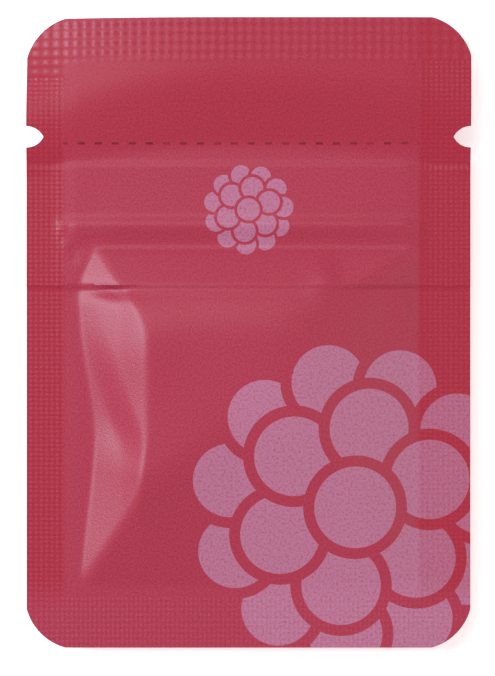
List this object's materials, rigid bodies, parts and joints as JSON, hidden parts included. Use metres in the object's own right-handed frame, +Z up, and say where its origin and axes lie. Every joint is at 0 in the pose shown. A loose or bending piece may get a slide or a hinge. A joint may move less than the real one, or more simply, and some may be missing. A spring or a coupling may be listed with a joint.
{
  "type": "resealable zip sachet",
  "caption": "Small flat laminate sachet, heat-sealed on all sides, with tear notches, a press-to-close zip and a pocket that swells over round scented cores.",
  "frame": {"origin": "under the middle of the outline, on the surface that the sachet lies on", "axes": "+X across the width, to the right seen from the front; +Y along the length, towards the end that tears open; +Z up, out of the printed front"},
  "size_m": [0.0706, 0.1, 0.0086],
  "materials": {
    "front_laminate": "satin",
    "back_laminate": "satin",
    "zip_plastic": "satin",
    "sleeve_plastic": "satin",
    "wick_fibre": "matte"
  },
  "bodies": {
    "root": {"front_film": "front_laminate", "back_film": "back_laminate", "zip_rib_strip": "zip_plastic", "zip_groove_strip": "zip_plastic", "core_sleeve_1": "sleeve_plastic", "core_sleeve_2": "sleeve_plastic", "core_sleeve_3": "sleeve_plastic", "core_wick_1": "wick_fibre", "core_wick_2": "wick_fibre", "core_wick_3": "wick_fibre"}
  },
  "joints": []
}
